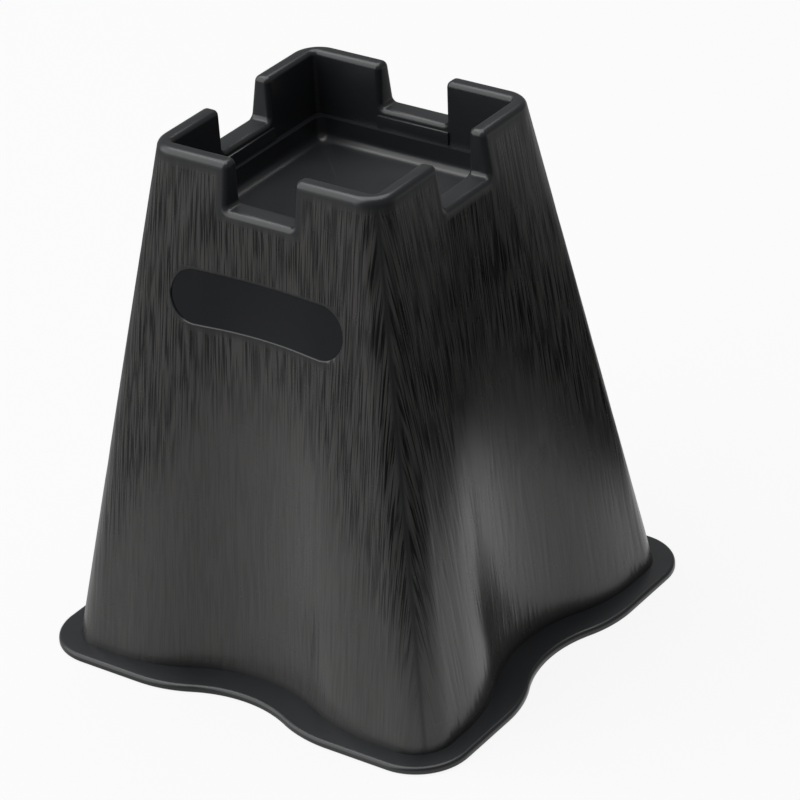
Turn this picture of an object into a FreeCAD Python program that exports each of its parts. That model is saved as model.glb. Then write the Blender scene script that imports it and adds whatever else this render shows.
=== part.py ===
"""Bed riser: a hollow four-sided foot, moulded in one piece, that lifts a bed leg or carries a bed rail.

The wall is lofted from a rounded square at the rim to a foot whose four sides dip inwards in a smooth wave.
A wavy flange spreads the load on the floor. The top is a square socket for a bed leg, and four notches in
its rim take the side rail of a bed. Lengths are in millimetres, +Z is up, and the origin is on the floor
under the middle of the part.
"""
import FreeCAD
import Part
import math
import os

# Overall form
HEIGHT = 168.0
TOP_WIDTH = 83.0
TOP_CORNER_RADIUS = 8.9
FOOT_WIDTH = 137.6
FOOT_CORNER_RADIUS = 12.5
WALL = 3.0

# Wave in each side: it is deepest at the foot and fades out just below the notches
FOOT_DIP = 11.4
FOOT_DIP_WIDTH = 96.0
TOP_DIP_WIDTH = 60.0

# The waves and the corners of the wall are drawn in strips that each turn by no more than this
WAVE_STRIP_DEG = 5.0
CORNER_STRIP_DEG = 11.25

# Flange round the foot
FLANGE_WIDTH = 150.0
FLANGE_CORNER_RADIUS = 17.6
FLANGE_DIP = 7.8
FLANGE_DIP_WIDTH = 70.6
FLANGE_THICKNESS = 2.5
FLANGE_TOP_CHAMFER = 0.9
FLANGE_BOTTOM_CHAMFER = 0.5

# Socket for the bed leg: a drafted mouth, a ledge and a seat with a chamfered floor edge
SOCKET_DEPTH = 28.0
RIM_WIDTH = 5.2
MOUTH_DRAFT_DEG = 1.5
MOUTH_CORNER_RADIUS = 1.5
LEDGE_DEPTH = 20.5
LEDGE_WIDTH = 2.0
SEAT_CORNER_RADIUS = 3.5
SEAT_FLOOR_CHAMFER = 2.0
FLOOR_THICKNESS = 3.0

# Notches for the bed rail, one in the middle of each side
NOTCH_WIDTH = 24.0
NOTCH_DEPTH = 14.3

# Edges of the rim: rounded on the outside and at the ends of the posts, chamfered on the mouth
EDGE_ROUND = 1.7
MOUTH_CHAMFER = 1.2

# Low pad on the socket wall under each notch
PAD_WIDTH = 26.2
PAD_HEIGHT = 4.2
PAD_PROUD = 0.6

# Shallow bare panel on the front face
PANEL_LENGTH = 62.0
PANEL_HEIGHT = 17.0
PANEL_DEPTH = 0.5
PANEL_BELOW_RIM = 43.2

# Two crossed webs under the socket floor, arched on their lower edge
WEB_THICKNESS = 2.5
WEB_DROP_AT_WALL = 52.0
WEB_DROP_AT_MIDDLE = 18.0

# Working allowance that lets one solid run past another before a cut
PAST = 5.0
ON_SURFACE = 0.001

# The part looks the same after each quarter turn, the panel aside
SIDES = 4
QUARTER_TURN = 90.0

LIFT = HEIGHT - SOCKET_DEPTH
SILL = HEIGHT - NOTCH_DEPTH
WAVE_TOP = SILL - EDGE_ROUND
LEDGE = HEIGHT - LEDGE_DEPTH
MOUTH_HALF = TOP_WIDTH / 2 - RIM_WIDTH
LEDGE_HALF = MOUTH_HALF - LEDGE_DEPTH * math.tan(math.radians(MOUTH_DRAFT_DEG))
SEAT_HALF = LEDGE_HALF - LEDGE_WIDTH
FLOOR_UNDERSIDE = LIFT - FLOOR_THICKNESS

UP = FreeCAD.Vector(0, 0, 1)
CENTRE = FreeCAD.Vector(0, 0, 0)


def point(x, y, z=0.0):
    return FreeCAD.Vector(x, y, z)


def line(start, end):
    return Part.makeLine(start, end)


def turned(shape, degrees):
    copy = shape.copy()
    copy.rotate(CENTRE, UP, degrees)
    return copy


def on_four_sides(shape):
    return [turned(shape, side * QUARTER_TURN) for side in range(SIDES)]


def bowed(start, through, end, pieces):
    """Equal pieces of the arc through three points, or of the straight line when they lie in one."""
    straight = (through - start).cross(end - start).Length < ON_SURFACE
    curve = Part.LineSegment(start, end) if straight else Part.Arc(start, through, end)
    step = (curve.LastParameter - curve.FirstParameter) / pieces
    at = [curve.FirstParameter + step * number for number in range(pieces + 1)]
    return [curve.toShape(low, high) for low, high in zip(at, at[1:])]


def strips(turn_deg, each_deg):
    return math.ceil(turn_deg / each_deg)


def corner_arc(half, corner, z, pieces=1):
    straight = half - corner
    diagonal = straight + corner * math.cos(math.radians(QUARTER_TURN / 2))
    return bowed(
        point(straight, -half, z), point(diagonal, -diagonal, z), point(half, -straight, z), pieces)


def closed_by_turning(first_side):
    return Part.Wire([turned(edge, side * QUARTER_TURN) for side in range(SIDES) for edge in first_side])


def outline(half, corner, dip, dip_width, z, wave_pieces=1, corner_pieces=1):
    """Rounded square with a wave in each side, at height z.

    A wave is three tangent arcs: a shoulder, a hollow twice as long, and the other shoulder. The middle of
    a shoulder lies half its chord along the side from the shoulder's outer end.
    """
    edge = dip_width / 2
    chord_slope = math.atan2(dip, edge)
    chord = edge / 2 / math.cos(chord_slope)
    across = chord / 2
    rise = across * math.tan(chord_slope / 2)

    straight = half - corner
    start = point(-edge, -half, z)
    inner_start = point(-edge / 2, dip / 2 - half, z)
    inner_end = point(edge / 2, dip / 2 - half, z)
    end = point(edge, -half, z)
    return closed_by_turning([
        line(point(-straight, -half, z), start),
        *bowed(start, point(across - edge, rise - half, z), inner_start, wave_pieces),
        *bowed(inner_start, point(0, dip - half, z), inner_end, 2 * wave_pieces),
        *bowed(inner_end, point(edge - across, rise - half, z), end, wave_pieces),
        line(end, point(straight, -half, z)),
        *corner_arc(half, corner, z, corner_pieces),
    ])


def rounded_square(half, corner, z, corner_pieces=1):
    straight = half - corner
    return closed_by_turning([
        line(point(-straight, -half, z), point(straight, -half, z)),
        *corner_arc(half, corner, z, corner_pieces),
    ])


def on_plane(face):
    """The same face on a true plane, when it is flat."""
    if isinstance(face.Surface, Part.Plane) or not face.Surface.isPlanar(ON_SURFACE):
        return face
    corners = [vertex.Point for vertex in face.OuterWire.OrderedVertexes]
    return Part.Face(Part.makePolygon(corners + corners[:1]))


def loft(lower, upper):
    """Solid with straight lines between two outlines; its flat faces lie on true planes."""
    ruled = Part.makeLoft([lower, upper], True, True)
    shell = Part.Shell([on_plane(face) for face in ruled.Faces])
    shell.sewShape()
    solid = Part.Solid(shell)
    if solid.Volume < 0:
        solid.reverse()
    return solid


def between(foot, rim, z):
    return foot + (rim - foot) * z / HEIGHT


def skin(inset):
    """The pyramid's solid form, drawn in from its outer face by inset on every side.

    Its waved part ends just below the notches, and a plain band carries the walls on to the rim.
    """
    wave_pieces = strips(math.degrees(2 * math.atan2(FOOT_DIP, FOOT_DIP_WIDTH / 2)), WAVE_STRIP_DEG)
    corner_pieces = strips(QUARTER_TURN, CORNER_STRIP_DEG)
    half = between(FOOT_WIDTH, TOP_WIDTH, WAVE_TOP) / 2 - inset
    corner = between(FOOT_CORNER_RADIUS, TOP_CORNER_RADIUS, WAVE_TOP) - inset
    waved = loft(
        outline(
            FOOT_WIDTH / 2 - inset, FOOT_CORNER_RADIUS - inset, FOOT_DIP, FOOT_DIP_WIDTH, 0,
            wave_pieces, corner_pieces),
        outline(half, corner, 0, TOP_DIP_WIDTH, WAVE_TOP, wave_pieces, corner_pieces))
    band = loft(
        rounded_square(half, corner, WAVE_TOP),
        rounded_square(TOP_WIDTH / 2 - inset, TOP_CORNER_RADIUS - inset, HEIGHT))
    return waved.fuse(band).removeSplitter()


def edges_at(solid, z):
    return [e for e in solid.Edges if abs(e.BoundBox.ZMin - z) + abs(e.BoundBox.ZMax - z) < ON_SURFACE]


def flange():
    rim = outline(
        FLANGE_WIDTH / 2, FLANGE_CORNER_RADIUS, FLANGE_DIP, FLANGE_DIP_WIDTH, 0)
    plate = Part.Face(rim).extrude(UP * FLANGE_THICKNESS)
    plate = plate.makeChamfer(FLANGE_TOP_CHAMFER, edges_at(plate, FLANGE_THICKNESS))
    return plate.makeChamfer(FLANGE_BOTTOM_CHAMFER, edges_at(plate, 0))


def block(half, z_low, z_high):
    return Part.makeBox(2 * half, 2 * half, z_high - z_low, point(-half, -half, z_low))


def web():
    """One web along X, to be trimmed by the cavity: flat on top, arched below."""
    reach = FOOT_WIDTH / 2
    at_wall = FLOOR_UNDERSIDE - WEB_DROP_AT_WALL
    at_middle = FLOOR_UNDERSIDE - WEB_DROP_AT_MIDDLE
    back = -WEB_THICKNESS / 2
    arch = Part.Arc(
        point(-SEAT_HALF, back, at_wall), point(0, back, at_middle), point(SEAT_HALF, back, at_wall))
    profile = Part.Wire([
        line(point(-reach, back, at_wall), point(-SEAT_HALF, back, at_wall)),
        arch.toShape(),
        line(point(SEAT_HALF, back, at_wall), point(reach, back, at_wall)),
        line(point(reach, back, at_wall), point(reach, back, LIFT)),
        line(point(reach, back, LIFT), point(-reach, back, LIFT)),
        line(point(-reach, back, LIFT), point(-reach, back, at_wall)),
    ])
    return Part.Face(profile).extrude(point(0, WEB_THICKNESS, 0))


def cavity():
    """Hollow underside: it also rises round the seat, so that the walls there stay thin."""
    trimmed = skin(WALL).common(block(FOOT_WIDTH, -PAST, LEDGE - FLOOR_THICKNESS))
    seat_cup = block(SEAT_HALF + WALL, FLOOR_UNDERSIDE, HEIGHT)
    return trimmed.cut([seat_cup, web(), turned(web(), QUARTER_TURN)])


def mouth():
    past_half = MOUTH_HALF + PAST * math.tan(math.radians(MOUTH_DRAFT_DEG))
    return loft(
        rounded_square(LEDGE_HALF, MOUTH_CORNER_RADIUS, LEDGE),
        rounded_square(past_half, MOUTH_CORNER_RADIUS, HEIGHT + PAST),
    )


def seat():
    footprint = Part.Face(rounded_square(SEAT_HALF, SEAT_CORNER_RADIUS, LIFT))
    well = footprint.extrude(UP * (LEDGE + PAST - LIFT))
    return well.makeChamfer(SEAT_FLOOR_CHAMFER, edges_at(well, LIFT))


def notch():
    """Cut along Y through two sides of the rim."""
    return Part.makeBox(
        NOTCH_WIDTH, FOOT_WIDTH, NOTCH_DEPTH + PAST, point(-NOTCH_WIDTH / 2, -FOOT_WIDTH / 2, SILL))


def halfway(edge):
    return edge.valueAt((edge.FirstParameter + edge.LastParameter) / 2)


def rim_edges(body, wall):
    """The edges of posts and sills that lie on a wall."""
    upright = Part.makeCompound([face for face in wall.Faces if face.BoundBox.ZLength > ON_SURFACE])
    above = [edge for edge in body.Edges if edge.BoundBox.ZMin > SILL - ON_SURFACE]
    return [edge for edge in above if upright.distToShape(Part.Vertex(halfway(edge)))[0] < ON_SURFACE]


def post_end_edges(body):
    """The edges between the posts' tops and the sides of the notches."""
    chosen = []
    for edge in edges_at(body, HEIGHT):
        middle = halfway(edge)
        if abs(min(abs(middle.x), abs(middle.y)) - NOTCH_WIDTH / 2) < ON_SURFACE:
            chosen.append(edge)
    return chosen


def pad():
    """Low pad on the socket wall of the -Y side, standing on the ledge."""
    front = -LEDGE_HALF + PAD_PROUD
    return Part.makeBox(
        PAD_WIDTH, RIM_WIDTH / 2 + PAD_PROUD, PAD_HEIGHT,
        point(-PAD_WIDTH / 2, front - RIM_WIDTH / 2 - PAD_PROUD, LEDGE))


def panel():
    """Space of the bare panel on the -Y face: a bar with round ends, as deep as the panel everywhere."""
    end = (PANEL_LENGTH - PANEL_HEIGHT) / 2
    radius = PANEL_HEIGHT / 2
    middle = HEIGHT - PANEL_BELOW_RIM
    front = -FOOT_WIDTH / 2

    def at(x, z):
        return point(x, front, middle + z)

    profile = Part.Wire([
        line(at(-end, radius), at(end, radius)),
        Part.Arc(at(end, radius), at(end + radius, 0), at(end, -radius)).toShape(),
        line(at(end, -radius), at(-end, -radius)),
        Part.Arc(at(-end, -radius), at(-end - radius, 0), at(-end, radius)).toShape(),
    ])
    bar = Part.Face(profile).extrude(point(0, FOOT_WIDTH / 2, 0))
    return bar.cut(skin(PANEL_DEPTH))


def riser():
    outside = skin(0)
    socket_mouth = mouth()
    body = outside.fuse(flange()).removeSplitter()
    body = body.cut([socket_mouth, seat(), notch(), turned(notch(), QUARTER_TURN)])
    body = body.makeChamfer(MOUTH_CHAMFER, rim_edges(body, socket_mouth))
    body = body.makeFillet(EDGE_ROUND, rim_edges(body, outside) + post_end_edges(body))
    body = body.cut([cavity(), panel()])
    return body.fuse(on_four_sides(pad()))


os.makedirs("parts", exist_ok=True)
riser_body = riser()
riser_body.exportStep("parts/riser_body.step")
box = riser_body.optimalBoundingBox()
print("riser_body: valid %s, %d solid, %d faces" % (
    riser_body.isValid(), len(riser_body.Solids), len(riser_body.Faces)))
print("volume %.0f mm3, box %.2f x %.2f x %.2f mm" % (
    riser_body.Volume, box.XLength, box.YLength, box.ZLength))
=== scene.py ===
# %% [markdown]
# A bed riser is a hollow foot that is moulded in one shot from black plastic. It lifts a bed leg, which
# stands in the square socket on top, or carries a bed rail, which lies in two of the four notches. This
# lesson starts from the measured solid as a fixed frame, and then models the same shell again with finer
# edges, an embossed wood grain and a finish.

# %% Load the measured frame
import math
import bmesh
import bpy
from mathutils import Matrix, Vector, noise


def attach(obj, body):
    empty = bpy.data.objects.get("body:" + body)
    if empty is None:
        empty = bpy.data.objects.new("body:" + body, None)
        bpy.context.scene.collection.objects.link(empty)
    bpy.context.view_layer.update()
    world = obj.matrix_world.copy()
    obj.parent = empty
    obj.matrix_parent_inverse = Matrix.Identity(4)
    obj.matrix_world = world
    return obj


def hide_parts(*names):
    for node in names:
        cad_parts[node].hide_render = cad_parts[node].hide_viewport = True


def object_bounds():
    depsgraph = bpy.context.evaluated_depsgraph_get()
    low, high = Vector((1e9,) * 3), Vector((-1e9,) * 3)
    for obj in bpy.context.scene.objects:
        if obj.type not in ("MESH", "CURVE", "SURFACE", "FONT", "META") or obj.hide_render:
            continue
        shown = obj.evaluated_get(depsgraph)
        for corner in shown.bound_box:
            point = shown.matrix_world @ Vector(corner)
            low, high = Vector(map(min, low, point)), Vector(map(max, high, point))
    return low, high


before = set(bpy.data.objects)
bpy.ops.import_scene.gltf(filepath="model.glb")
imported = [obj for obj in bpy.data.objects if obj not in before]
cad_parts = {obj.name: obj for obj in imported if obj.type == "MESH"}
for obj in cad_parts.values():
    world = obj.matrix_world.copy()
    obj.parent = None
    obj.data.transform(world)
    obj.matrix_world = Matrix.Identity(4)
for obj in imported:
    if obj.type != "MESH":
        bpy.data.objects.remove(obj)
cad_low, cad_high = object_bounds()
MM = 0.001
print("frame", [round(v / MM, 2) for v in cad_low], [round(v / MM, 2) for v in cad_high])

# %% [markdown]
# The wall's form comes first, because every later step asks it where the surface is. Each side leans
# inwards and has a soft wave that is deepest at the foot and fades out below the notches. A wave is a
# shoulder, a hollow and a shoulder, all arcs of one radius. We could trace these curves by hand, but a
# formula gives the same smooth surface to every piece that touches it. Lengths in these helpers are
# millimetres.

# %% The leaning wall as a formula
HEIGHT = (cad_high.z - cad_low.z) / MM
FOOT_HALF, TOP_HALF = 68.8, 41.5
FOOT_CORNER, TOP_CORNER = 12.5, 8.9
FOOT_DIP, FOOT_DIP_WIDTH, TOP_DIP_WIDTH = 11.4, 96.0, 60.0
WAVE_TOP = 152.0
DIAGONAL = math.sin(math.radians(45))


def wave(x, dip, dip_width):
    """Depth of a wave at x, measured inwards from the straight side."""
    edge = dip_width / 2
    along = abs(x)
    if dip <= 0 or along >= edge:
        return 0.0
    radius = (edge ** 2 + dip ** 2) / (4 * dip)
    if along > edge / 2:
        return radius - math.sqrt(radius ** 2 - (edge - along) ** 2)
    return dip - radius + math.sqrt(radius ** 2 - along ** 2)


class Outline:
    """A rounded square with a wave in each side. Points are asked for on its front, at negative y."""

    def __init__(self, half, corner, dip=0.0, dip_width=1.0):
        self.half, self.corner = half, corner
        self.dip, self.dip_width = dip, dip_width
        self.straight = half - corner
        self.reach = self.straight + corner * DIAGONAL

    def point(self, x, depth=0.0):
        """The point at x on the outline, moved inwards by depth, on a corner towards its centre."""
        past = abs(x) - self.straight
        if past <= 0:
            return x, wave(x, self.dip, self.dip_width) - self.half + depth
        turn = math.asin(min(past / self.corner, 1.0))
        radius = self.corner - depth
        side = math.copysign(self.straight + radius * math.sin(turn), x)
        return side, -self.straight - radius * math.cos(turn)


def wall(z):
    """Outline of the wall's outer face at height z."""
    up, fade = z / HEIGHT, min(z / WAVE_TOP, 1.0)
    return Outline(
        FOOT_HALF + (TOP_HALF - FOOT_HALF) * up,
        FOOT_CORNER + (TOP_CORNER - FOOT_CORNER) * up,
        FOOT_DIP * (1 - fade),
        FOOT_DIP_WIDTH + (TOP_DIP_WIDTH - FOOT_DIP_WIDTH) * fade)


print("wall half width at the foot, middle and rim:",
      [round(wall(z).half, 1) for z in (0, HEIGHT / 2, HEIGHT)])

# %% [markdown]
# One side is drawn flat first, as a sheet metal worker would draw a blank: the leaning ridges on the left
# and right, the top of the flange below, and the rim with its notch on top. Drawing it flat keeps the
# notch, its small corners and the rounded edges simple. The blank is extruded to the rim's thickness, and
# its rim edges are bevelled on both faces. Later every vertex is pressed onto the real wall.

# %% Draw and bevel the blank of one side
NOTCH_HALF, NOTCH_DEPTH = 12.0, 14.3
SILL = HEIGHT - NOTCH_DEPTH
NOTCH_CORNER, POST_CORNER, CORNER_STEPS = 1.5, 1.9, 4
RIM_WIDTH, EDGE_ROUND, EDGE_STEPS = 5.2, 1.7, 5
FLANGE_THICKNESS = 2.5
NEAR = 1e-4
SIDEWAYS = 0.5  # the blank's side faces have less than this of y in their normal


def ridge(z):
    """Half width of the flat blank at height z, where it meets the next side on the ridge."""
    return wall(z).reach


def near(a, b):
    return abs(a - b) < NEAR


def verts_in(geom):
    """The vertices among the geometry that an operator returns."""
    return [item for item in geom if isinstance(item, bmesh.types.BMVert)]


def blank():
    bm = bmesh.new()
    low, high = ridge(FLANGE_THICKNESS), ridge(HEIGHT)
    corners = [
        (-low, FLANGE_THICKNESS), (-high, HEIGHT), (-NOTCH_HALF, HEIGHT), (-NOTCH_HALF, SILL),
        (NOTCH_HALF, SILL), (NOTCH_HALF, HEIGHT), (high, HEIGHT), (low, FLANGE_THICKNESS)]
    bm.faces.new([bm.verts.new((x, 0, z)) for x, z in corners])
    for z, radius in ((SILL, NOTCH_CORNER), (HEIGHT, POST_CORNER)):
        picked = [v for v in bm.verts if near(v.co.z, z) and near(abs(v.co.x), NOTCH_HALF)]
        bmesh.ops.bevel(
            bm, geom=picked, offset=radius, affect="VERTICES", segments=CORNER_STEPS, profile=0.5,
            material=-1)
    grown = bmesh.ops.extrude_face_region(bm, geom=bm.faces[:], use_keep_orig=True)
    bmesh.ops.translate(bm, verts=verts_in(grown["geom"]), vec=(0, RIM_WIDTH, 0))
    bm.normal_update()
    return bm


def along_rim(edge):
    """True for an edge of the front or the back face that runs along the rim, the notch or the sill."""
    a, b = (vert.co for vert in edge.verts)
    if not near(a.y, b.y) or min(a.z, b.z) < SILL - NEAR:
        return False
    return not any(near(abs(p.x), ridge(HEIGHT)) and not near(p.z, HEIGHT) for p in (a, b))


def rounded_blank():
    bm = blank()
    open_sides = [
        f for f in bm.faces if abs(f.normal.y) < SIDEWAYS and not any(along_rim(e) for e in f.edges)]
    bmesh.ops.delete(bm, geom=open_sides, context="FACES")
    rim = [edge for edge in bm.edges if along_rim(edge)]
    bmesh.ops.bevel(
        bm, geom=rim, offset=EDGE_ROUND, affect="EDGES", segments=EDGE_STEPS, profile=0.5, material=-1,
        clamp_overlap=False)
    bm.normal_update()
    return bm


flat_side = rounded_blank()
print("blank:", len(flat_side.verts), "vertices,", len(flat_side.faces), "faces")

# %% [markdown]
# The blank is still a few big faces. Before it can follow a round ridge or a wave, it needs cuts. The rim's
# narrow strips only turn at the ridge, so they get a few leaning cuts there. The outer face also carries
# the embossed grain, whose grooves stand upright and are about a millimetre wide, so it gets close upright
# cuts and wider level ones. Slicing with planes keeps the cuts exactly upright, where a loop cut would
# fan out.

# %% Slice the blank
MOUTH_DEPTH, MOUTH_CORNER = 20.5, 1.5
MOUTH_DRAFT = math.tan(math.radians(1.5))
LEDGE = HEIGHT - MOUTH_DEPTH
SAME_BELOW = 20.0  # this near the middle, a point of the socket's wall keeps its x
RIDGE_CUTS = (0.667, 0.729, 0.789, 0.847, 0.903, 0.933, 0.958, 0.98)
COLUMN, ROW = 0.42, 2.6
FLAT = 0.999  # the blank's front and back faces have more than this of y in their normal


def mouth(z):
    """Outline of the socket's mouth at height z."""
    return Outline(TOP_HALF - RIM_WIDTH - (HEIGHT - z) * MOUTH_DRAFT, MOUTH_CORNER)


def geometry(faces):
    """A list of faces with their edges and corners, each once and always in the same order."""
    edges = dict.fromkeys(edge for face in faces for edge in face.edges)
    verts = dict.fromkeys(vert for face in faces for vert in face.verts)
    return [*verts, *edges, *faces]


def cut(bm, faces, point, normal):
    bmesh.ops.bisect_plane(bm, geom=geometry(faces), dist=NEAR, plane_co=point, plane_no=normal)
    bm.normal_update()


def front_faces(bm):
    """Faces of the blank's outer side, without the rounded rim."""
    return [face for face in bm.faces if face.normal.y < -FLAT and face.calc_center_median().y < NEAR]


def cut_ridges(bm):
    """Leaning cuts through the rim strips and the socket wall, a few near each ridge."""
    for share in RIDGE_CUTS:
        low = SAME_BELOW + share * (ridge(LEDGE) - SAME_BELOW)
        high = SAME_BELOW + share * (ridge(HEIGHT) - SAME_BELOW)
        for sign in (-1, 1):
            normal = Vector((sign * (HEIGHT - LEDGE), 0, low - high)).normalized()
            front = set(front_faces(bm))
            cut(bm, [face for face in bm.faces if face not in front], (sign * high, 0, HEIGHT), normal)


def open_socket(bm):
    """Leaves the back face only where it is the wall of the socket's mouth."""
    back = [face for face in bm.faces if face.normal.y > FLAT]
    cut(bm, back, (0, 0, LEDGE), (0, 0, 1))
    below = [f for f in bm.faces if f.normal.y > FLAT and f.calc_center_median().z < LEDGE]
    bmesh.ops.delete(bm, geom=below, context="FACES")


def slice_front(bm):
    width = ridge(FLANGE_THICKNESS)
    columns = round(2 * width / COLUMN)
    for number in range(1, columns):
        x = -width + 2 * width * number / columns
        cut(bm, [f for f in front_faces(bm) if max(v.co.x for v in f.verts) > x], (x, 0, 0), (1, 0, 0))
    rows = round((HEIGHT - FLANGE_THICKNESS) / ROW)
    for number in range(1, rows):
        z = FLANGE_THICKNESS + (HEIGHT - FLANGE_THICKNESS) * number / rows
        cut(bm, [f for f in front_faces(bm) if max(v.co.z for v in f.verts) > z], (0, 0, z), (0, 0, 1))


open_socket(flat_side)
cut_ridges(flat_side)
slice_front(flat_side)
print("sliced blank:", len(flat_side.verts), "vertices,", len(flat_side.faces), "faces")

# %% [markdown]
# The outer walls are embossed with a wood grain, as the mould was etched to hide scratches. Its streaks are
# shallow grooves about a millimetre wide that stand upright on every side, so they meet in chevrons on the
# ridges. They could be painted or faked with a bump map, but real grooves also show in the mesh. A noise
# that is stretched upwards crosses zero along thin upright lines, and those lines become the grooves. The
# rim, the ridges and the bare panel stay smooth.

# %% Emboss the grain
GRAIN_DEPTH, GRAIN_LINE = 0.1, 0.2
STREAK_ACROSS, STREAK_LENGTH = 2.2, 32.0
PATCH_ACROSS, PATCH_LENGTH, PATCH_BARE, PATCH_FULL = 2.0, 14.0, -0.3, 0.1
NEXT_SIDE, NEXT_NOISE = 10.0, 5.0  # steps to another part of the noise
SMOOTH_RIM, GRAIN_RIM = 2.4, 3.8
SMOOTH_RIDGE, GRAIN_RIDGE = 0.1, 0.8
PANEL_END, PANEL_RADIUS, PANEL_DROP = 22.5, 8.5, 43.2
PANEL_MIDDLE = HEIGHT - PANEL_DROP


def ease(low, high, value):
    """Zero below low, one above high, and a smooth step between them."""
    t = min(max((value - low) / (high - low), 0.0), 1.0)
    return t * t * (3 - 2 * t)


def from_rim(x, z):
    """Distance from a point of the blank to the rim or the notch."""
    to_notch = math.hypot(max(abs(x) - NOTCH_HALF, 0), max(SILL - z, 0))
    return min(HEIGHT - z, to_notch)


def from_panel(x, z):
    return math.hypot(max(abs(x) - PANEL_END, 0), z - PANEL_MIDDLE) - PANEL_RADIUS


def grained(x, z, side):
    """Share of the grain at a point of one side's blank. The rim, ridge, foot and panel have none."""
    share = ease(SMOOTH_RIM, GRAIN_RIM, from_rim(x, z))
    share *= ease(SMOOTH_RIDGE, GRAIN_RIDGE, ridge(z) - abs(x))
    share *= ease(SMOOTH_RIDGE, GRAIN_RIDGE, z - FLANGE_THICKNESS)
    if side == 0:
        share *= ease(SMOOTH_RIDGE, GRAIN_RIDGE, from_panel(x, z))
    return share


def groove(x, z, side):
    """How far the grain is cut in at a point of one side's blank, from 0 to 1."""
    here = noise.noise(Vector((x / STREAK_ACROSS, NEXT_SIDE * side, z / STREAK_LENGTH)))
    patch = noise.noise(Vector((x / PATCH_ACROSS, NEXT_SIDE * side + NEXT_NOISE, z / PATCH_LENGTH)))
    line = max(0.0, 1 - abs(here) / GRAIN_LINE)
    return line * ease(PATCH_BARE, PATCH_FULL, patch) * grained(x, z, side)


print("grain: grooves %.1f mm deep, streaks about %.0f mm long" % (GRAIN_DEPTH, STREAK_LENGTH))

# %% [markdown]
# Now the flat blank is bent into the real wall. Each vertex keeps its height and its place along the side,
# and moves to the outline at that height. Its depth below the outer face stays, so the bevels keep their
# shape, and the grooves are pressed in here. A lattice could bend the blank too, but the formula puts every
# vertex exactly on the wall. All four sides are alike, so four turned copies are welded together on the
# ridges.

# %% Press the blank and join four sides
SIDES = 4
QUARTER = math.radians(90)
WELD = 0.004


def press(co):
    """Moves a point of the blank onto the wall, at its depth from the outer face or the socket's wall."""
    x, depth, z = co
    if depth < RIM_WIDTH / 2:
        return Vector((*wall(z).point(x, depth), z))
    inner = mouth(z)
    past = max(abs(x) - SAME_BELOW, 0) / (ridge(z) - SAME_BELOW)
    if past > 0:
        x = math.copysign(SAME_BELOW + past * (inner.reach - SAME_BELOW), x)
    return Vector((*inner.point(x, depth - RIM_WIDTH), z))


def quarter_turns(number):
    return Matrix.Rotation(number * QUARTER, 4, "Z")


def joined_sides(make_side):
    """Four sides in one mesh, each turned to its place and welded to the next on the ridge."""
    whole = bmesh.new()
    for side in range(SIDES):
        part = make_side(side)
        bmesh.ops.transform(part, matrix=quarter_turns(side), verts=part.verts)
        mesh = bpy.data.meshes.new("side")
        part.to_mesh(mesh)
        part.free()
        whole.from_mesh(mesh)
        bpy.data.meshes.remove(mesh)
    bmesh.ops.remove_doubles(whole, verts=whole.verts, dist=WELD)
    return whole


def pressed_side(side):
    bm = flat_side.copy()
    for vert in bm.verts:
        depth = vert.co.y
        if near(depth, 0):
            depth = GRAIN_DEPTH * groove(vert.co.x, vert.co.z, side)
        vert.co = press((vert.co.x, depth, vert.co.z))
    return bm


shell = joined_sides(pressed_side)
print("four walls:", len(shell.verts), "vertices, open edges", sum(e.is_boundary for e in shell.edges))

# %% [markdown]
# Two open loops are left: one at the foot and one on the socket's ledge. Each is grown ring by ring, which
# is how an edge loop is extruded and scaled in the editor, only that every ring here lands on a known
# outline. The foot grows into the flange with its rounded edge. The socket grows over the narrow ledge,
# down its wall and round onto the floor.

# %% Grow the flange and the socket
FLANGE_HALF, FLANGE_CORNER, FLANGE_DIP, FLANGE_DIP_WIDTH = 75.0, 17.6, 7.8, 70.6
FLANGE_ROUND, FLANGE_UNDERCUT, ROUND_STEPS = 1.2, 0.5, 4
SEAT_HALF, SEAT_CORNER, SEAT_ROUND, SOCKET_DEPTH = 33.76, 3.5, 3.0, 28.0
SEAT_FLOOR = HEIGHT - SOCKET_DEPTH


def flange(inset):
    return Outline(FLANGE_HALF - inset, FLANGE_CORNER - inset, FLANGE_DIP, FLANGE_DIP_WIDTH)


def seat(inset):
    return Outline(SEAT_HALF - inset, SEAT_CORNER - inset)


def open_loop(bm, z):
    return [edge for edge in bm.edges if edge.is_boundary and all(near(v.co.z, z) for v in edge.verts)]


def open_edges_in(geom):
    """The open edges among the geometry that an operator returns."""
    return [item for item in geom if isinstance(item, bmesh.types.BMEdge) and item.is_boundary]


def grow(bm, edges, start, end, z):
    """Extrudes a loop that lies on the outline start to the outline end at height z."""
    grown = bmesh.ops.extrude_edge_only(bm, edges=edges)["geom"]
    for vert in verts_in(grown):
        side = round(math.atan2(vert.co.y, vert.co.x) / QUARTER) + 1
        front = quarter_turns(-side) @ vert.co
        x, y = end.point(front.x / start.reach * end.reach)
        vert.co = quarter_turns(side) @ Vector((x, y, z))
    return open_edges_in(grown)


def grow_rings(bm, z, start, rings):
    """Grows a loop through a row of outlines and heights, and closes the last one with a face."""
    loop = open_loop(bm, z)
    for outline, height in rings:
        loop = grow(bm, loop, start, outline, height)
        start = outline
    bmesh.ops.edgeloop_fill(bm, edges=loop)


def rounding(radius):
    """Steps of a quarter round: how far each is along from the start and down from it."""
    turns = [QUARTER * step / ROUND_STEPS for step in range(1, ROUND_STEPS + 1)]
    return [(radius * math.sin(turn), radius * (1 - math.cos(turn))) for turn in turns]


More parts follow.
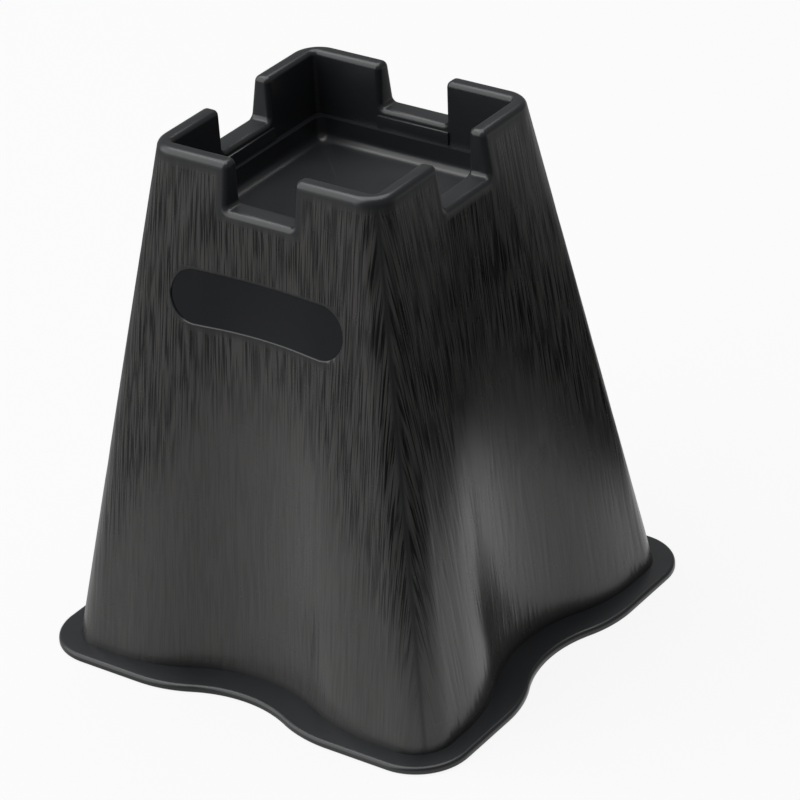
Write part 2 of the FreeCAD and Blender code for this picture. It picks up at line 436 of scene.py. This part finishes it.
flange_rings = [(flange(FLANGE_ROUND), FLANGE_THICKNESS)]
flange_rings += [
    (flange(FLANGE_ROUND - out), FLANGE_THICKNESS - down) for out, down in rounding(FLANGE_ROUND)]
flange_rings += [(flange(0), FLANGE_UNDERCUT), (flange(FLANGE_UNDERCUT), 0.0)]
grow_rings(shell, FLANGE_THICKNESS, wall(FLANGE_THICKNESS), flange_rings)

seat_rings = [(seat(0), LEDGE), (seat(0), SEAT_FLOOR + SEAT_ROUND)]
seat_rings += [(seat(inward), SEAT_FLOOR + SEAT_ROUND - down) for down, inward in rounding(SEAT_ROUND)]
grow_rings(shell, LEDGE, mouth(LEDGE), seat_rings)
bmesh.ops.recalc_face_normals(shell, faces=shell.faces)
print("closed shell:", len(shell.faces), "faces, open edges", sum(e.is_boundary for e in shell.edges),
      "volume %.0f mm3" % shell.calc_volume(signed=True))

# %% [markdown]
# Underneath, the riser is hollow: its wall is about as thick all round, and two crossed webs carry the
# floor of the socket. The hollow is easiest to make as the air in it. Four plain sides, closed above and
# below, give a solid that follows the inner wall and reaches a little below the floor, so that it cuts
# cleanly there.

# %% Model the air inside the walls
WALL_THICKNESS = 3.0
CEILING = LEDGE - WALL_THICKNESS
BELOW_FLOOR = -5.0
INNER_COLUMNS, INNER_ROWS = 72, 8


def inner_wall(z):
    outer = wall(z)
    return Outline(
        outer.half - WALL_THICKNESS, outer.corner - WALL_THICKNESS, outer.dip, outer.dip_width)


def inner_side(_side):
    """One side of the air block: a grid whose columns spread with the wall."""
    bm = bmesh.new()
    bmesh.ops.create_grid(bm, x_segments=INNER_COLUMNS, y_segments=INNER_ROWS, size=1.0)
    for vert in bm.verts:
        z = (vert.co.y + 1) / 2 * CEILING
        outline = inner_wall(z)
        vert.co = Vector((*outline.point(vert.co.x * outline.reach), z))
    return bm


air = joined_sides(inner_side)
lowered = verts_in(bmesh.ops.extrude_edge_only(air, edges=open_loop(air, 0.0))["geom"])
bmesh.ops.translate(air, verts=lowered, vec=(0, 0, BELOW_FLOOR))
for height in (BELOW_FLOOR, CEILING):
    bmesh.ops.edgeloop_fill(air, edges=open_loop(air, height))
bmesh.ops.recalc_face_normals(air, faces=air.faces)
print("air inside the walls:", len(air.faces), "faces, volume %.0f mm3" % air.calc_volume(signed=True))

# %% [markdown]
# The socket hangs in that air like a cup, on two crossed webs that are arched below. A modeller could build
# them as plates inside the hollow, but it is simpler to take a block and two bars out of the air with
# Boolean modifiers. What is left of the air is then the tool that hollows the shell. The Exact solver is
# slower than the others, and copes with faces that touch.

# %% Take the cup and the webs out of the air
CUP_HALF, CUP_LOW = SEAT_HALF + WALL_THICKNESS, SEAT_FLOOR - WALL_THICKNESS
WEB_THICKNESS, WEB_DEPTH, WEB_REACH = 2.5, 52.0, FOOT_HALF
WEB_LOW = CUP_LOW - WEB_DEPTH
ARCH_RADIUS, ARCH_CENTRE, ARCH_STEPS = 33.76, 85.24, 96


def as_object(bm, name):
    """Turns a bmesh into an object in the scene and frees it."""
    mesh = bpy.data.meshes.new(name)
    bm.to_mesh(mesh)
    bm.free()
    made = bpy.data.objects.new(name, mesh)
    bpy.context.scene.collection.objects.link(made)
    return made


def block(low, high):
    """A box between two corners, as a bmesh."""
    low, high = Vector(low), Vector(high)
    bm = bmesh.new()
    bmesh.ops.create_cube(bm, size=1.0)
    bmesh.ops.scale(bm, vec=high - low, verts=bm.verts)
    bmesh.ops.translate(bm, vec=(low + high) / 2, verts=bm.verts)
    return bm


def combine(target, tool, operation):
    """Applies a Boolean modifier to target and removes the tool."""
    modifier = target.modifiers.new(operation.lower(), "BOOLEAN")
    modifier.operation = operation
    modifier.solver = "EXACT"
    modifier.object = tool
    depsgraph = bpy.context.evaluated_depsgraph_get()
    result = bpy.data.meshes.new_from_object(target.evaluated_get(depsgraph))
    target.modifiers.clear()
    target.data = result
    bpy.data.objects.remove(tool)


def web(turns):
    half = WEB_THICKNESS / 2
    bar = as_object(block((-WEB_REACH, -half, WEB_LOW), (WEB_REACH, half, SEAT_FLOOR)), "web")
    arch = bmesh.new()
    bmesh.ops.create_cone(
        arch, cap_ends=True, segments=ARCH_STEPS, radius1=ARCH_RADIUS, radius2=ARCH_RADIUS, depth=WEB_REACH)
    lying = Matrix.Translation((0, 0, ARCH_CENTRE)) @ Matrix.Rotation(QUARTER, 4, "X")
    bmesh.ops.transform(arch, matrix=lying, verts=arch.verts)
    combine(bar, as_object(arch, "arch"), "DIFFERENCE")
    bar.data.transform(quarter_turns(turns))
    return bar


air_block = as_object(air, "air_block")
cup = block((-CUP_HALF, -CUP_HALF, CUP_LOW), (CUP_HALF, CUP_HALF, HEIGHT))
for tool in (as_object(cup, "cup"), web(0), web(1)):
    combine(air_block, tool, "DIFFERENCE")
print("air block:", len(air_block.data.polygons), "faces")

# %% [markdown]
# The front has a shallow panel with round ends, left bare here. A circle whose halves are pulled apart
# makes its outline. The panel is as deep everywhere, so its tool is pressed onto the same wall as the blank
# was, half a millimetre deep, and it flares at the surface to leave a small sloping lip. Four low pads
# stand on the ledge under the notches and keep a leg from rattling; they are small bevelled blocks, joined
# to the socket's wall.

# %% Cut the panel and the hollow, join the pads
PANEL_DEPTH, PANEL_LIP, PANEL_OUT, PANEL_STEPS = 0.5, 0.25, 2.0, 64
PANEL_COLUMN = 3.0
PAD_HALF, PAD_HEIGHT, PAD_PROUD, PAD_SUNK = 13.1, 4.2, 0.6, 1.5
PAD_BEVEL, PAD_STEPS = 0.35, 2


def widen_ring(bm, loop, wider, rise):
    """Extrudes the open loop of the panel's tool away from the wall and lets it grow wider."""
    grown = bmesh.ops.extrude_edge_only(bm, edges=loop)["geom"]
    for vert in verts_in(grown):
        centre = Vector((math.copysign(PANEL_END, vert.co.x), vert.co.y, PANEL_MIDDLE))
        vert.co += (vert.co - centre).normalized() * wider - Vector((0, rise, 0))
    return open_edges_in(grown)


def panel_tool():
    bm = bmesh.new()
    bmesh.ops.create_circle(bm, cap_ends=True, segments=PANEL_STEPS, radius=PANEL_RADIUS)
    turn_half = Matrix.Rotation(math.pi / PANEL_STEPS, 4, "Z")
    bmesh.ops.transform(bm, matrix=Matrix.Rotation(QUARTER, 4, "X") @ turn_half, verts=bm.verts)
    for vert in bm.verts:
        vert.co += Vector((math.copysign(PANEL_END, vert.co.x), PANEL_DEPTH, PANEL_MIDDLE))
    loop = bm.edges[:]
    for wider, rise in ((0, PANEL_DEPTH - PANEL_LIP), (2 * PANEL_LIP, 2 * PANEL_LIP), (0, PANEL_OUT)):
        loop = widen_ring(bm, loop, wider, rise)
    bmesh.ops.edgeloop_fill(bm, edges=loop)
    columns = round(2 * (PANEL_END + PANEL_RADIUS) / PANEL_COLUMN)
    for number in range(1, columns):
        x = (2 * number / columns - 1) * (PANEL_END + PANEL_RADIUS)
        cut(bm, bm.faces[:], (x, 0, 0), (1, 0, 0))
    for vert in bm.verts:
        vert.co = press(vert.co)
    bmesh.ops.recalc_face_normals(bm, faces=bm.faces)
    return bm


def pad():
    back = -mouth(LEDGE).half
    bm = block(
        (-PAD_HALF, back - PAD_SUNK, LEDGE - PAD_SUNK), (PAD_HALF, back + PAD_PROUD, LEDGE + PAD_HEIGHT))
    bmesh.ops.bevel(
        bm, geom=bm.edges[:], offset=PAD_BEVEL, affect="EDGES", segments=PAD_STEPS, profile=0.5,
        material=-1)
    return bm


riser_shell = as_object(shell, "riser_shell")
combine(riser_shell, air_block, "DIFFERENCE")
combine(riser_shell, as_object(panel_tool(), "panel"), "DIFFERENCE")
combine(riser_shell, as_object(joined_sides(lambda side: pad()), "pads"), "UNION")
print("riser shell:", len(riser_shell.data.polygons), "faces")

# %% [markdown]
# The shell is one moulding, so it is one object. It is scaled from millimetres to metres in its mesh, and
# its faces are shaded smooth, except at edges that turn sharply, such as the ledge and the panel's border.
# It then takes the place of the measured solid.

# %% Finish the shell and put it in the frame
SHARP_TURN = math.radians(40)

finished = bmesh.new()
finished.from_mesh(riser_shell.data)
bmesh.ops.scale(finished, vec=(MM, MM, MM), verts=finished.verts)
for face in finished.faces:
    face.smooth = True
for edge in finished.edges:
    edge.smooth = edge.calc_face_angle(0.0) < SHARP_TURN
print("finished shell: open edges", sum(not e.is_manifold for e in finished.edges),
      "volume %.0f mm3" % (finished.calc_volume(signed=True) / MM ** 3),
      "triangles", sum(len(f.verts) - 2 for f in finished.faces))
finished.to_mesh(riser_shell.data)
finished.free()
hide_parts("riser_body")
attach(riser_shell, "root")

# %% [markdown]
# The finish needs to know where the wall is grained and where it is smooth. The outer face is easy to find:
# a vertex belongs to it if it lies on the wall's outline or just below it. The share of grain, the
# painted shade of its streaks, which fades low on the wall and lasts longest beside the ridges, the
# painted shade in its grooves and the polished panel go into four point attributes that the material
# reads, so the pattern stays on the wall from every side.

# %% Mark the grained wall
SKIN_DEPTH = 0.6
# the second and third marks hold painted shade, for the streaks and for the grooves
MARKS = ("grained", "streaked", "groove", "polished")
MARKED = 0.5  # a vertex with more than this share is counted
FAINT_BELOW, FAINT_DROP, FAINT_SPAN, FAINT_SHARE = 84.0, 80.0, 32.0, 0.25
GROOVE_PAINTED_SHADE = 0.9


def depth_in_wall(point):
    """The side that a point faces, its place along that side, and its depth below the outer face."""
    side = (round(math.atan2(point.y, point.x) / QUARTER) + 1) % SIDES
    front = quarter_turns(-side) @ point
    outline = wall(front.z)
    past = abs(front.x) - outline.straight
    if past <= 0:
        return side, front.x, front.y - outline.point(front.x)[1]
    across = -front.y - outline.straight
    reach = math.hypot(past, across)
    along = outline.straight + outline.corner * past / max(reach, NEAR)
    return side, math.copysign(along, front.x), outline.corner - reach


def marks_at(point):
    """Shares of the grain, the painted shade of its streaks and of each groove, and the panel's polish
    at a point of the shell.
    """
    side, x, depth = depth_in_wall(point)
    if point.z < FLANGE_THICKNESS or abs(depth) > SKIN_DEPTH:
        return 0.0, 0.0, 0.0, 0.0
    share = grained(x, point.z, side)
    # the painted streak shade grows weak low on the wall, and stays longest beside the ridges
    low = FAINT_BELOW - FAINT_DROP * (x / ridge(point.z)) ** 2
    strength = FAINT_SHARE + (1 - FAINT_SHARE) * ease(low, low + FAINT_SPAN, point.z)
    on_panel = side == 0 and from_panel(x, point.z) < NEAR
    # the groove's depth also sets the painted shade in the colour there
    shade = GROOVE_PAINTED_SHADE * groove(x, point.z, side)
    return share, share * strength, shade * strength, float(on_panel)


shares = [marks_at(vert.co / MM) for vert in riser_shell.data.vertices]
for mark, values in zip(MARKS, zip(*shares)):
    riser_shell.data.attributes.new(mark, "FLOAT", "POINT").data.foreach_set("value", values)
    print(mark, "vertices: %d of %d" % (sum(value > MARKED for value in values), len(values)))

# %% [markdown]
# Materials are built from nodes. In the editor they are added and wired by hand, and a script can say the
# same in words. This helper adds a node, sets it up and links it, so that each material below reads as a
# short list of steps.

# %% Make a helper for nodes
FIRST_COLOUR, SECOND_COLOUR, MIXED_COLOUR = 6, 7, 2  # places of the colour sockets on a Mix node


class Nodes:
    """A small helper that adds nodes to a material or the world and wires them up."""

    def __init__(self, tree):
        self.tree = tree
        tree.nodes.clear()

    def add(self, kind, inputs=(), **settings):
        node = self.tree.nodes.new(kind)
        for name, value in settings.items():
            setattr(node, name, value)
        for socket, value in dict(inputs).items():
            if isinstance(value, bpy.types.NodeSocket):
                self.tree.links.new(value, node.inputs[socket])
            else:
                node.inputs[socket].default_value = value
        return node

    def math(self, operation, *values):
        return self.add("ShaderNodeMath", dict(enumerate(values)), operation=operation).outputs[0]

    def scaled(self, value, low, high):
        """A 0 to 1 value spread between low and high."""
        inputs = {"Value": value, "To Min": low, "To Max": high}
        return self.add("ShaderNodeMapRange", inputs).outputs["Result"]

    def mix_colour(self, share, first, second):
        inputs = {"Factor": share, FIRST_COLOUR: first, SECOND_COLOUR: second}
        return self.add("ShaderNodeMix", inputs, data_type="RGBA").outputs[MIXED_COLOUR]

    def fade(self, value, span, least=0.0):
        """One up to the span's start, and a smooth way down to least at its end."""
        inputs = {"Value": value, "From Min": span[0], "From Max": span[1], "To Min": 1.0, "To Max": least}
        return self.add("ShaderNodeMapRange", inputs, interpolation_type="SMOOTHSTEP").outputs["Result"]


def new_material(name):
    material = bpy.data.materials.new(name)
    material.use_nodes = True
    return material, Nodes(material.node_tree)


print("node helper:", ", ".join(name for name in vars(Nodes) if not name.startswith("_")))

# %% [markdown]
# The plastic is black throughout, and its finish changes from place to place. The rim, the flange and the
# socket are satin, the bare panel is polished, and the embossed wall is a little lighter. Its streaks are
# painted shade: the colour turns almost black in the modelled grooves and along finer lines between them,
# where the relief would shade itself. One shader makes all of these: the four marks choose its colour and
# its roughness, and its gloss is the plain gloss of plastic. The finer grain also lifts the surface by
# a few hundredths of a millimetre. It reads Object coordinates, and takes x on the front and back and y
# on the other two sides, so that its streaks stand upright there as the grooves do. A cloudy noise breaks
# up the gloss a little, as handling does.

# %% Mix the black plastic
SATIN_PLASTIC = (0.0103, 0.0114, 0.0129, 1.0)
POLISHED_PLASTIC = (0.0055, 0.0063, 0.0078, 1.0)
GRAIN_PLASTIC = (0.0395, 0.0383, 0.037, 1.0)
# colour of the painted shade in the grain's streaks and grooves
PAINTED_STREAK_SHADE = (0.002, 0.002, 0.0022, 1.0)
SATIN_ROUGHNESS, POLISHED_ROUGHNESS, GRAIN_ROUGHNESS = 0.32, 0.18, 0.27
FINE_ACROSS, FINE_ALONG = 0.45, 20.0
FINE_LIFT, FINE_DETAIL, FINE_BARE, FINE_DARK = 0.03, 1.0, 0.51, 0.41
CLOUD_SIZE, CLOUD_DETAIL, CLOUD_ROUGHNESS = 18.0, 4.0, 0.03


def upright_streaks(nodes, place):
    """Noise that is stretched upwards and runs across the side that a point is on."""
    axes = nodes.add("ShaderNodeSeparateXYZ", {"Vector": place}).outputs
    wide = nodes.math("ABSOLUTE", axes["X"])
    deep = nodes.math("ABSOLUTE", axes["Y"])
    on_front = nodes.math("LESS_THAN", wide, deep)
    across = nodes.add("ShaderNodeMix", {"Factor": on_front, "A": axes["Y"], "B": axes["X"]})
    u = nodes.math("DIVIDE", across.outputs["Result"], FINE_ACROSS * MM)
    v = nodes.math("DIVIDE", axes["Z"], FINE_ALONG * MM)
    vector = nodes.add("ShaderNodeCombineXYZ", {"X": u, "Y": on_front, "Z": v}).outputs["Vector"]
    inputs = {"Vector": vector, "Scale": 1.0, "Detail": FINE_DETAIL}
    return nodes.add("ShaderNodeTexNoise", inputs).outputs["Fac"]


def black_plastic():
    material, nodes = new_material("black_plastic")
    place = nodes.add("ShaderNodeTexCoord").outputs["Object"]
    grain, streaked, grooves, polish = (
        nodes.add("ShaderNodeAttribute", attribute_name=mark).outputs["Fac"] for mark in MARKS)
    streaks = upright_streaks(nodes, place)
    # painted shade: the fine streaks and the groove mark turn the colour almost black
    fine = nodes.add(
        "ShaderNodeMapRange", {"Value": streaks, "From Min": FINE_BARE, "From Max": FINE_DARK})
    fine_painted_shade = nodes.math("MULTIPLY", fine.outputs["Result"], streaked)
    painted_shade = nodes.math("MAXIMUM", fine_painted_shade, grooves)
    smooth = nodes.mix_colour(polish, SATIN_PLASTIC, POLISHED_PLASTIC)
    base = nodes.mix_colour(grain, smooth, GRAIN_PLASTIC)
    colour = nodes.mix_colour(painted_shade, base, PAINTED_STREAK_SHADE)
    clouds = nodes.add(
        "ShaderNodeTexNoise", {"Vector": place, "Scale": 1 / (CLOUD_SIZE * MM), "Detail": CLOUD_DETAIL})
    rough = nodes.scaled(grain, nodes.scaled(polish, SATIN_ROUGHNESS, POLISHED_ROUGHNESS), GRAIN_ROUGHNESS)
    rough = nodes.math("ADD", rough, nodes.scaled(clouds.outputs["Fac"], -CLOUD_ROUGHNESS, CLOUD_ROUGHNESS))
    lift = nodes.math("MULTIPLY", streaks, grain)
    bump = nodes.add("ShaderNodeBump", {"Height": lift, "Distance": FINE_LIFT * MM, "Strength": 1.0})
    shader = nodes.add("ShaderNodeBsdfPrincipled", {
        "Base Color": colour, "Roughness": rough, "Normal": bump.outputs["Normal"]})
    nodes.add("ShaderNodeOutputMaterial", {"Surface": shader.outputs["BSDF"]})
    return material


riser_shell.data.materials.clear()
riser_shell.data.materials.append(black_plastic())
print("material:", riser_shell.data.materials[0].name)

# %% [markdown]
# The stage is a pale floor under soft studio light. A black part shows little of its own colour, so what it
# mirrors matters most. Its walls lean back, so from above they mirror the floor: the lower walls the pale
# sheet near the part, and the upper walls the floor farther off. In reflections the sheet therefore ends to
# the right and grows dimmer to the front, and the floor far behind is lighter again. To the camera the
# floor is almost white all over, and it keeps the part's soft shadow.

# %% Lay the floor
FLOOR_SIZE = 6.0
FLOOR_GREY = (0.55, 0.55, 0.55, 1.0)
WHITE = (1.0, 1.0, 1.0, 1.0)
FLOOR_GLOW, FRONT_GLOW = 0.88, 0.65
SHEET_MIDDLE, SHEET_TURN = (0.05, -0.06, 0.0), (0.0, 0.08)
RIGHT_REACH, FRONT_REACH, FRONT_SHARE = (0.17, 0.24), (0.19, 0.39), 0.34
BEHIND_START, BEHIND_GLOW = (0.38, 0.5), 0.55


def pale_floor():
    material, nodes = new_material("pale_floor")
    path = nodes.add("ShaderNodeLightPath").outputs
    place = nodes.add("ShaderNodeTexCoord").outputs["Object"]
    axes = nodes.add("ShaderNodeSeparateXYZ", {"Vector": place}).outputs
    away = nodes.add(
        "ShaderNodeVectorMath", {0: place, 1: SHEET_MIDDLE}, operation="DISTANCE").outputs["Value"]
    to_right = nodes.fade(away, RIGHT_REACH)
    to_front = nodes.math("MULTIPLY", nodes.fade(away, FRONT_REACH, FRONT_SHARE), FRONT_GLOW)
    left = nodes.fade(axes["X"], SHEET_TURN)
    sheet = nodes.add("ShaderNodeMix", {"Factor": left, "A": to_right, "B": to_front}).outputs["Result"]
    behind = nodes.scaled(nodes.fade(axes["Y"], BEHIND_START), BEHIND_GLOW, 0.0)
    glow = nodes.math("MAXIMUM", sheet, behind)
    mirrored = nodes.add("ShaderNodeEmission", {"Color": WHITE, "Strength": glow})
    white = nodes.add("ShaderNodeEmission", {"Color": WHITE})
    diffuse = nodes.add("ShaderNodeBsdfDiffuse", {"Color": FLOOR_GREY})
    seen = nodes.math("MAXIMUM", path["Is Camera Ray"], path["Is Transmission Ray"])
    seen = nodes.math("MULTIPLY", seen, FLOOR_GLOW)
    lit = nodes.add("ShaderNodeMixShader", {0: seen, 1: diffuse.outputs[0], 2: white.outputs[0]})
    whole = nodes.add(
        "ShaderNodeMixShader", {0: path["Is Glossy Ray"], 1: lit.outputs[0], 2: mirrored.outputs[0]})
    nodes.add("ShaderNodeOutputMaterial", {"Surface": whole.outputs[0]})
    return material


floor_mesh = bmesh.new()
bmesh.ops.create_grid(floor_mesh, x_segments=1, y_segments=1, size=FLOOR_SIZE / 2)
floor = as_object(floor_mesh, "floor")
floor.data.materials.append(pale_floor())
print("floor: %.0f m wide" % FLOOR_SIZE)

# %% [markdown]
# The room closes the stage. A picture of a studio could light it, but a plain room keeps the light soft. It
# is white to the camera, gives a little light from all round, and is dim in reflections, which keeps the
# black plastic black.

# %% Set the room
ROOM_LIGHT, ROOM_MIRRORED, ROOM_WHITE = 0.14, 0.24, 1.0

world = bpy.data.worlds.new("room")
bpy.context.scene.world = world
world.use_nodes = True
room = Nodes(world.node_tree)
rays = room.add("ShaderNodeLightPath").outputs
light = room.scaled(rays["Is Glossy Ray"], ROOM_LIGHT, ROOM_MIRRORED)
strength = room.add(
    "ShaderNodeMix", {"Factor": rays["Is Camera Ray"], "A": light, "B": ROOM_WHITE}).outputs["Result"]
air_light = room.add("ShaderNodeBackground", {"Color": WHITE, "Strength": strength})
room.add("ShaderNodeOutputWorld", {"Surface": air_light.outputs["Background"]})
print("room light %.2f, mirrored %.2f" % (ROOM_LIGHT, ROOM_MIRRORED))

# %% [markdown]
# Two large lamps light the part: a key at the front left, which brightens the front and draws soft bands on
# the rounded edges, and one almost straight above, which lights the flange, the sills and the floor of the
# socket. Large lamps give soft edges to highlights and shadows.

# %% Hang the lamps
PART_MIDDLE = Vector((0.0, 0.0, 0.08))
LAMPS = {
    "key": {"at": Vector((-1.3, -1.2, 1.3)), "size": 3.0, "watts": 60.0},
    "overhead": {"at": Vector((-0.2, 0.2, 1.9)), "size": 2.0, "watts": 36.0},
}


def hang(name, at, size, watts):
    lamp = bpy.data.lights.new(name, "AREA")
    lamp.energy = watts
    lamp.size = size
    holder = bpy.data.objects.new(name, lamp)
    bpy.context.scene.collection.objects.link(holder)
    holder.location = at
    holder.rotation_euler = (PART_MIDDLE - at).to_track_quat("-Z", "Y").to_euler()


for lamp_name, setting in LAMPS.items():
    hang(lamp_name, **setting)
print("lamps:", ", ".join(LAMPS))

# %% [markdown]
# The camera stands where the photograph was taken: to the right of the front, looking down on the rim
# through a long lens, and turned a few degrees on its axis.

# %% Place the camera
CAMERA_AIM = Vector((0.013228, 0.003244, 0.074925))
CAMERA_AZIMUTH, CAMERA_ELEVATION, CAMERA_ROLL = (math.radians(turn) for turn in (35.68, 29.24, -2.92))
CAMERA_DISTANCE, CAMERA_LENS, SENSOR = 1.1698, 172.28, 36.0

lens = bpy.data.cameras.new("camera")
lens.lens = CAMERA_LENS
lens.sensor_width = SENSOR
camera = bpy.data.objects.new("camera", lens)
bpy.context.scene.collection.objects.link(camera)
level = math.cos(CAMERA_ELEVATION)
back = Vector((
    math.sin(CAMERA_AZIMUTH) * level, -math.cos(CAMERA_AZIMUTH) * level, math.sin(CAMERA_ELEVATION)))
right = Vector((math.cos(CAMERA_AZIMUTH), math.sin(CAMERA_AZIMUTH), 0))
up = back.cross(right)
turned_right = right * math.cos(CAMERA_ROLL) + up * math.sin(CAMERA_ROLL)
turned_up = up * math.cos(CAMERA_ROLL) - right * math.sin(CAMERA_ROLL)
camera.matrix_world = Matrix.LocRotScale(
    CAMERA_AIM + back * CAMERA_DISTANCE,
    Matrix((turned_right, turned_up, back)).transposed().to_quaternion(),
    None)
bpy.context.scene.camera = camera
bpy.context.scene.view_settings.view_transform = "Standard"
print("camera at", [round(v, 4) for v in camera.location])

# %% [markdown]
